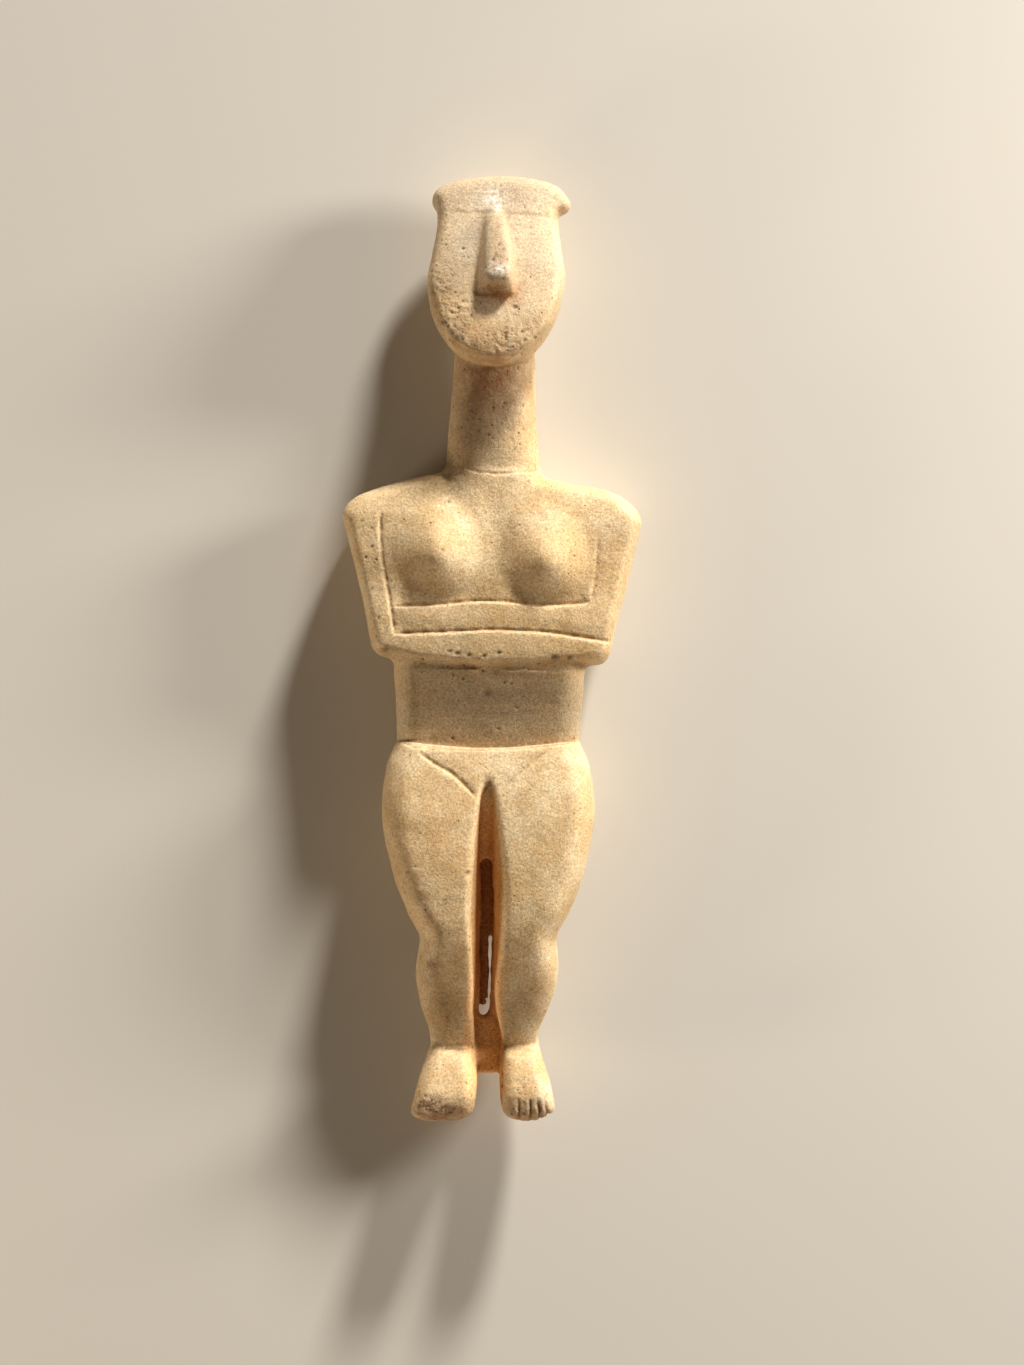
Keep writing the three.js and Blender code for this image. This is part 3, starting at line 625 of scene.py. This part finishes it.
zones = {  # places where the stone looks different, as [x, y], [reach in x, reach in y], amount
    "eroded": [[(-19, 136), (12, 14), 1.0], [(-2, 127), (20, 8), 0.9], [(-23, 152), (7, 14), 0.8],
               [(14, 132), (9, 8), 0.6], [(1, 165), (4, 14), 0.7], [(2, 96), (15, 20), 0.6],
               [(-18, -193), (13, 7), 1.5], [(14, -185), (6, 8), 0.7], [(20, -194), (12, 5), 0.8],
               [(-50, 25), (6, 28), 0.35],
               [(0, -8), (44, 6), 0.3], [(-30, -100), (12, 18), 0.3]],
    # grey: partly the stone's own greyer tone, partly painted shade on the belly under the forearms
    "greyAndShade": [[(2, -24), (44, 17), 1.0], [(0, 193), (30, 7), 0.8], [(38, -120), (16, 20), 0.2]],
    "chalky": [[(9, 166), (22, 26), 0.9], [(-12, 172), (14, 16), 0.7], [(0, 193), (30, 8), 1.0]],
    # tan: the stone's own on the nose ridge and feet; on the neck under the chin it is painted shade
    "tanAndShade": [[(0.6, 163), (5, 17), 1.2], [(14, 140), (16, 16), 0.5], [(0.4, 181), (3, 7), 0.6],
               [(0, 193), (30, 6), 0.25],
               [(0, 108), (15, 14), 0.8], [(-9, 92), (8, 14), 0.8], [(0, -198), (40, 7), 1.0]],
    "golden": [[(16, -184), (12, 12), 0.5], [(-17, -184), (12, 12), 0.5], [(0, 100), (20, 22), 0.6],
               [(-22, 140), (10, 22), 0.6], [(0, 130), (18, 8), 0.7], [(1, 166), (4, 14), 1.0],
               [(-22, -82), (18, 34), 0.5], [(24, 20), (30, 30), 0.3]],
    # russet: deposit on the feet, shins and crest; under the nose and the chin it is partly deposit, partly
    # painted shade
    "russetAndShade": [[(1.0, 147.5), (8, 4.5), 1.3], [(-20, -196.5), (15, 5), 1.0], [(22, -197), (10, 4), 0.8],
               [(-19, -148), (12, 20), 0.25], [(17, -146), (12, 20), 0.25], [(0, 114), (15, 9), 0.9],
               [(27, 184), (4, 4), 0.6], [(23.1, 55.8), (4, 2.4), 0.7], [(-1, 100), (12, 18), 0.3],
               [(50, 40), (8, 18), 0.25], [(12, 150), (10, 10), 0.2]],
    "pale": [[(0.4, 156), (4, 2.8), 1.0], [(-3, 189), (5, 4.5), 0.8], [(-0.5, 185), (1.6, 1.2), 1.0],
             [(26, -188), (4, 4), 0.4], [(-22, 155), (5, 5), 0.25]],
    "smoky": [[(-23.8, -133), (3.6, 6.5), 0.9], [(9.5, -124.7), (4, 2.6), 0.8], [(-19, 131), (8, 6), 0.9],
              [(9, -160), (4, 4), 0.5], [(-14, -2.5), (5, 1.8), 0.6], [(28, -3.6), (5, 1.8), 0.6],
              [(-7, 143), (5, 4), 0.5], [(-44, -1), (4, 2), 0.5], [(-25, 150), (6, 10), 0.4],
              [(-26, -110), (8, 8), 0.3], [(0, 113), (12, 3), 0.4]],
}


cleftBounceReach = {  # painted bounce light: the cleft's inside is lit amber within these places, from none at the first number to full
    "across": (9.5, 6.5), "top": (-57, -64), "height": (41, 30), "bottom": -189,
}


def noiseAt(points, size, octaves=3):
    scaled = (points / size).tolist()
    return np.array([noise.fractal(at, 0.9, 2.1, octaves) for at in scaled])


def zoneAt(points, normals, name):
    x, y = figurePlace(points)
    total = sum(amount * bump(x, y, place, reach) for place, reach, amount in zones[name])
    return np.clip(total, 0, 1.5) * step(normals[:, 2], -0.2, 0.35)


def weather(points, quads):
    # carves the lines, wears the surface and returns it with what the finish needs to know about each point
    w = weathering
    points = evened(points, quads, w["firstRounds"])
    normals = normalsOf(points, quads)
    push, dark = np.zeros(len(points)), np.zeros(len(points))
    for lines, facing in ((frontLines, 1), (backLines, -1)):
        for line in lines.values():
            linePush, lineDark = incise(points, normals, line, facing)
            push, dark = push + linePush, np.maximum(dark, lineDark)
    x, y = figurePlace(points)
    front = normals[:, 2] > 0.2
    pits = np.zeros(len(points))
    for dent in dents:
        reach = [share * dent["reach"] for share in dentStretch]
        hollow = bump(x, y, dent["place"], reach, 2.6) * front
        push -= dent["depth"] * hollow
        pits = np.maximum(pits, hollow * dent.get("stain", dentStain) * (dent["reach"] < stainedReach))
    print("lines and dents are cut")

    traits = {name: zoneAt(points, normals, name) for name in zones}
    swell = noiseAt(points + 40, w["swell"][0], 2) * w["swell"][1]
    ripple = noiseAt(points - 15, w["ripple"][0], 2) * w["ripple"][1]
    grain = noiseAt(points, w["grain"][0], 3)
    worn = np.clip(traits["eroded"] * (0.6 + 0.8 * noiseAt(points + 9, 12, 2)), 0, 1.2)
    push += swell + ripple + grain * w["grain"][1]
    push -= worn * w["wornGrain"][1] * np.clip(0.35 - grain, 0, 1)

    dice = np.random.default_rng(w["pitSeed"])
    tree = kdtree.KDTree(len(points))
    for i, at in enumerate(points.tolist()):
        tree.insert(at, i)
    tree.balance()
    weight = w["pitAnywhere"] + w["pitEroded"] * traits["eroded"] + w["pitSmoky"] * traits["smoky"]
    weight = weight / weight.sum()
    for centre in dice.choice(len(points), w["pitCount"], replace=False, p=weight):
        size = dice.uniform() ** 2.5
        radius, depth = (a + (b - a) * size for a, b in (w["pitRadius"], w["pitDepth"]))
        for _, i, away in tree.find_range(points[centre], radius):
            share = (1 - (away / radius) ** 2) ** 1.5
            push[i] -= depth * share
            pits[i] = max(pits[i], share)
    print("surface is worn")

    points = points + normals * push[:, None]
    points[:, 2] = np.maximum(points[:, 2], 0)
    even = evened(points, quads, w["nearRounds"])
    lift = np.einsum("ij,ij->i", points - even, normals)  # above its surroundings, or below them
    # how far a point lies below the broad surface round it, where the finish lays painted shade
    broad = np.einsum("ij,ij->i", points - evened(even, quads, w["farRounds"]), normals)
    x, y = figurePlace(points)
    # painted bounce light: how far inside the cleft a point is, for the amber the finish lays there
    deep = step(np.abs(x), *cleftBounceReach["across"]) * step(y, *cleftBounceReach["top"])
    deep = deep * step(points[:, 2], *cleftBounceReach["height"]) * (y > cleftBounceReach["bottom"])
    traits.update(cut=dark, pits=pits, worn=worn, deep=deep,
                  hollow=np.clip(-lift / w["hollowAt"], 0, 1), ridge=np.clip(lift / w["ridgeAt"], 0, 1),
                  shade=np.clip(-broad / w["shadeAt"], 0, 1))
    return points, traits


def pieceFrom(name, points, quads, traits):
    mesh = bpy.data.meshes.new(name)
    centre = (points.min(0) + points.max(0)) / 2
    centre[2] = points[:, 2].min()
    place = np.array([(figureLow.x + figureHigh.x) / 2, (figureLow.y + figureHigh.y) / 2, figureLow.z])
    spots = ((points - centre) * metre + place).astype(np.float32)
    mesh.vertices.add(len(spots))
    mesh.vertices.foreach_set("co", spots.ravel())
    mesh.loops.add(quads.size)
    mesh.loops.foreach_set("vertex_index", quads.astype(np.int32).ravel())
    mesh.polygons.add(len(quads))
    mesh.polygons.foreach_set("loop_start", np.arange(0, quads.size, 4, dtype=np.int32))
    for trait, values in traits.items():
        layer = mesh.attributes.new(trait, "FLOAT", "POINT")
        layer.data.foreach_set("value", values.astype(np.float32))
    mesh.update(calc_edges=True)
    mesh.validate()
    piece = bpy.data.objects.new(name, mesh)
    bpy.context.scene.collection.objects.link(piece)
    thin = piece.modifiers.new("thin", "DECIMATE")
    thin.ratio = mesher["triangles"] / (2 * len(quads))
    bpy.context.view_layer.update()
    solid = bpy.data.meshes.new_from_object(piece.evaluated_get(bpy.context.evaluated_depsgraph_get()))
    piece.modifiers.clear()
    piece.data = solid
    solid.name = name
    solid.shade_smooth()
    return piece


print("meshing the stone")
stonePoints, stoneQuads = meshStone()
print("meshed", len(stonePoints), "points")
stonePoints, stoneTraits = weather(stonePoints, stoneQuads)
figure = pieceFrom("marble_figure", stonePoints, stoneQuads, stoneTraits)
print("the figure has", len(figure.data.polygons), "faces")


def plug(tree, socket, value):
    if isinstance(value, bpy.types.NodeSocket):
        tree.links.new(value, socket)
    else:
        socket.default_value = value


def addNode(tree, kind, inputs=None, **settings):
    node = tree.nodes.new("ShaderNode" + kind)
    for setting, value in settings.items():
        setattr(node, setting, value)
    for key, value in (inputs or {}).items():
        plug(tree, node.inputs[key], value)
    return node


def mixedColour(tree, share, a, b, blend="MIX"):
    a, b = ((*c, 1) if isinstance(c, tuple) else c for c in (a, b))
    return addNode(tree, "Mix", {0: share, 6: a, 7: b}, data_type="RGBA", blend_type=blend).outputs[2]


def maths(tree, operation, a, b=0.0):
    return addNode(tree, "Math", {0: a, 1: b}, operation=operation).outputs[0]


def ranged(tree, value, low, high, toLow=0.0, toHigh=1.0):
    inputs = {"Value": value, "From Min": low, "From Max": high, "To Min": toLow, "To Max": toHigh}
    return addNode(tree, "MapRange", inputs).outputs["Result"]


def noiseNode(tree, place, size, detail=4.0, roughness=0.6):
    # size is how far apart its blotches are, in millimetres
    inputs = {"Vector": place, "Scale": 1 / (size * metre), "Detail": detail, "Roughness": roughness}
    return addNode(tree, "TexNoise", inputs).outputs["Fac"]


def trait(tree, name):
    return addNode(tree, "Attribute", attribute_name=name).outputs["Fac"]


marble = {
    "honey": (0.600, 0.410, 0.200),
    "cream": (0.740, 0.580, 0.365),
    "ochre": (0.520, 0.300, 0.110),
    "greyAndShade": (0.400, 0.290, 0.180),
    "chalk": (0.600, 0.490, 0.355),
    "russetAndShade": (0.340, 0.145, 0.048),
    "brown": (0.200, 0.085, 0.028),
    "pit": (0.070, 0.030, 0.012),
    "tan": (0.380, 0.265, 0.155),
    # painted bounce light, laid inside the cleft
    "bounceAmber": (0.880, 0.500, 0.210),
    "white": (0.800, 0.760, 0.680),
    "blotches": 24, "patches": 7, "flecks": 2.6, "crystals": 1.05,  # sizes in millimetres
    "specks": 2.3,  # how far apart the small dark pits are
    "speckReach": 0.34,  # the widest of them, as a share of that
    "roughness": (0.50, 0.72),
    "relief": 0.55,  # height of the finest grain, in millimetres
    "specular": 0.35, "subsurface": 0.10, "subsurfaceReach": 1.4, "subsurfaceRadius": (1.0, 0.6, 0.35),
}


def part(tree, name, share):
    # a trait of the surface, weakened to a share of itself
    return maths(tree, "MULTIPLY", trait(tree, name), share)


def marbleFinish(name):
    m = marble
    material = bpy.data.materials.new(name)
    material.use_nodes = True
    tree = material.node_tree
    shader = tree.nodes["Principled BSDF"]
    place = addNode(tree, "TexCoord").outputs["Object"]

    blotches = noiseNode(tree, place, m["blotches"], 5.0, 0.62)
    patches = noiseNode(tree, place, m["patches"], 5.0, 0.7)
    flecks = noiseNode(tree, place, m["flecks"], 4.0, 0.7)
    crystals = noiseNode(tree, place, m["crystals"], 3.0, 0.75)
    squeezed = addNode(tree, "Mapping", {"Vector": place, "Scale": (0.18, 1.8, 1)}).outputs["Vector"]
    streaks = noiseNode(tree, squeezed, 4, 4.0, 0.65)

    def laid(colour, over, amount, low=0.0, high=1.0, pattern=None, least=0.0):
        # one tint over the colour, where the amount and the pattern's bright parts say
        if pattern is not None:
            amount = maths(tree, "MULTIPLY", amount, ranged(tree, pattern, low, high, least, 1.0))
        return mixedColour(tree, amount, colour, m[over])

    colour = mixedColour(tree, ranged(tree, blotches, 0.36, 0.64), m["honey"], m["cream"])
    colour = laid(colour, "ochre", 0.34, 0.46, 0.66, patches)
    colour = laid(colour, "cream", 0.40, 0.52, 0.70, flecks)
    colour = laid(colour, "brown", 0.30, 0.56, 0.74, flecks)
    colour = laid(colour, "ochre", trait(tree, "golden"), 0.35, 0.65, patches, 0.3)
    colour = laid(colour, "chalk", trait(tree, "chalky"), 0.3, 0.6, patches, 0.5)
    # tan: painted shade on the neck under the chin, the stone's own on the nose and feet
    colour = laid(colour, "tan", trait(tree, "tanAndShade"), 0.35, 0.6, patches, 0.55)
    # grey streaks, partly the belly's own tone and partly painted shade
    colour = laid(colour, "greyAndShade", trait(tree, "greyAndShade"), 0.3, 0.68, streaks, 0.45)
    # russet deposit, which is partly painted shade under the nose and the chin
    colour = laid(colour, "russetAndShade", trait(tree, "russetAndShade"), 0.36, 0.62, patches, 0.35)
    # painted bounce light: warm amber inside the cleft
    colour = laid(colour, "bounceAmber", trait(tree, "deep"), 0.3, 0.6, patches, 0.75)
    # painted shade: ochre laid in the broad hollows, darker where the surface sinks below its surroundings
    colour = laid(colour, "ochre", part(tree, "shade", 0.3))
    colour = laid(colour, "cream", part(tree, "ridge", 0.5), 0.35, 0.6, flecks, 0.25)
    colour = laid(colour, "brown", part(tree, "hollow", 0.45), 0.35, 0.6, flecks, 0.35)
    colour = laid(colour, "brown", part(tree, "cut", 0.42), 0.35, 0.62, flecks, 0.1)
    colour = laid(colour, "brown", part(tree, "smoky", 0.8), 0.44, 0.6, patches)
    colour = laid(colour, "white", trait(tree, "pale"), 0.42, 0.56, flecks)
    colour = laid(colour, "brown", part(tree, "worn", 0.75), 0.50, 0.66, crystals)
    colour = laid(colour, "white", part(tree, "worn", 0.3), 0.48, 0.36, crystals)
    grain = ranged(tree, crystals, 0.3, 0.7, 0.60, 1.34)
    grain = addNode(tree, "CombineColor", {"Red": grain, "Green": grain, "Blue": grain}).outputs[0]
    colour = mixedColour(tree, 1.0, colour, grain, "MULTIPLY")

    holes = addNode(tree, "TexVoronoi", {"Vector": place, "Scale": 1 / (m["specks"] * metre)})
    size = addNode(tree, "SeparateColor", {"Color": holes.outputs["Color"]}).outputs["Red"]
    eaten = maths(tree, "ADD", ranged(tree, patches, 0.40, 0.64, 0.0, 0.8), trait(tree, "worn"))
    eaten = maths(tree, "ADD", eaten, part(tree, "smoky", 0.6))
    reach = maths(tree, "MULTIPLY", ranged(tree, size, 0.55, 1.0, 0.0, m["speckReach"]),
                  ranged(tree, eaten, 0.0, 1.2, 0.25, 1.1))
    edge = maths(tree, "ADD", holes.outputs["Distance"], ranged(tree, crystals, 0.3, 0.7, -0.06, 0.06))
    specks = ranged(tree, maths(tree, "SUBTRACT", reach, edge), 0.0, 0.08)
    pits = maths(tree, "MAXIMUM", specks, trait(tree, "pits"))
    colour = laid(colour, "pit", maths(tree, "MULTIPLY", pits, 0.75))
    tree.links.new(colour, shader.inputs["Base Color"])

    dull = maths(tree, "ADD", patches, part(tree, "worn", 0.4))
    tree.links.new(ranged(tree, dull, 0.3, 0.8, *m["roughness"]), shader.inputs["Roughness"])
    wear = maths(tree, "ADD", part(tree, "worn", 0.9), 0.45)
    height = maths(tree, "MULTIPLY", crystals, wear)
    height = maths(tree, "ADD", height, maths(tree, "MULTIPLY", flecks, 0.4))
    height = maths(tree, "SUBTRACT", height, maths(tree, "MULTIPLY", specks, 0.5))
    bumps = addNode(tree, "Bump", {"Height": height, "Strength": 0.9, "Distance": m["relief"] * metre})
    tree.links.new(bumps.outputs["Normal"], shader.inputs["Normal"])
    shader.inputs["Specular IOR Level"].default_value = m["specular"]
    shader.inputs["Subsurface Weight"].default_value = m["subsurface"]
    shader.inputs["Subsurface Radius"].default_value = m["subsurfaceRadius"]
    shader.inputs["Subsurface Scale"].default_value = m["subsurfaceReach"] * metre
    return material


figure.data.materials.append(marbleFinish("weathered_marble"))
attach(figure, "root")
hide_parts("figurine")
print("marble is finished")

sunColour = (1.0, 0.95, 0.86)
studio = {  # lights round the figure: the way to each, how far off and how wide in metres, and its power
    "key": {"from": (0.34, 0.90, 0.30), "away": 6.0, "size": 0.9, "watts": 620, "colour": sunColour},
    "side": {"from": (0.90, 0.30, 0.34), "away": 1.3, "size": 0.35, "watts": 17, "colour": sunColour},
    "low": {"from": (-0.85, -0.42, 0.20), "away": 1.2, "size": 0.3, "watts": 5.5,
            "colour": (1.0, 0.84, 0.64)},
    "foot": {"from": (0.05, -0.97, 0.075), "away": 1.4, "size": 0.2, "watts": 4.6,
             "colour": (1.0, 0.80, 0.58)},
    "world": 0.06, "worldColour": (1.0, 0.72, 0.46),
    "floor": (0.66, 0.63, 0.58),
    "floorSize": 40.0, "floorGap": 0.0002,
}
camera = {
    "over": (8.4, -14.9), "height": 1300, "lens": 79.5, "sensor": 36,  # in millimetres
}


def addLight(name, light):
    data = bpy.data.lights.new(name, "AREA")
    data.shape = "DISK"
    data.size = light["size"]
    data.energy = light["watts"]
    data.color = light["colour"]
    lamp = bpy.data.objects.new(name, data)
    towards = Vector(light["from"]).normalized()
    lamp.location = towards * light["away"]
    lamp.rotation_mode = "QUATERNION"
    lamp.rotation_quaternion = towards.to_track_quat("Z", "Y")
    bpy.context.scene.collection.objects.link(lamp)


def addFloor(name):
    reach = studio["floorSize"] / 2
    corners = [(-reach, -reach), (reach, -reach), (reach, reach), (-reach, reach)]
    level = figureLow.z - studio["floorGap"]
    mesh = bpy.data.meshes.new(name)
    mesh.from_pydata([(x, y, level) for x, y in corners], [], [(0, 1, 2, 3)])
    floor = bpy.data.objects.new(name, mesh)
    bpy.context.scene.collection.objects.link(floor)
    paint = bpy.data.materials.new("pale_floor")
    paint.use_nodes = True
    shader = paint.node_tree.nodes["Principled BSDF"]
    shader.inputs["Base Color"].default_value = (*studio["floor"], 1)
    shader.inputs["Roughness"].default_value = 0.85
    mesh.materials.append(paint)


def addCamera():
    data = bpy.data.cameras.new("camera")
    data.lens = camera["lens"]
    data.sensor_width = camera["sensor"]
    eye = bpy.data.objects.new("camera", data)
    x, y = camera["over"]
    eye.location = (x * metre, y * metre, camera["height"] * metre)
    bpy.context.scene.collection.objects.link(eye)
    bpy.context.scene.camera = eye


for name in ("key", "side", "low", "foot"):
    addLight(name, studio[name])
addFloor("floor")
addCamera()
world = bpy.data.worlds.new("pale_room")
world.use_nodes = True
background = world.node_tree.nodes["Background"]
background.inputs["Color"].default_value = (*studio["worldColour"], 1)
background.inputs["Strength"].default_value = studio["world"]
bpy.context.scene.world = world
bpy.context.scene.view_settings.view_transform = "Standard"
print("lights, floor and camera are set")
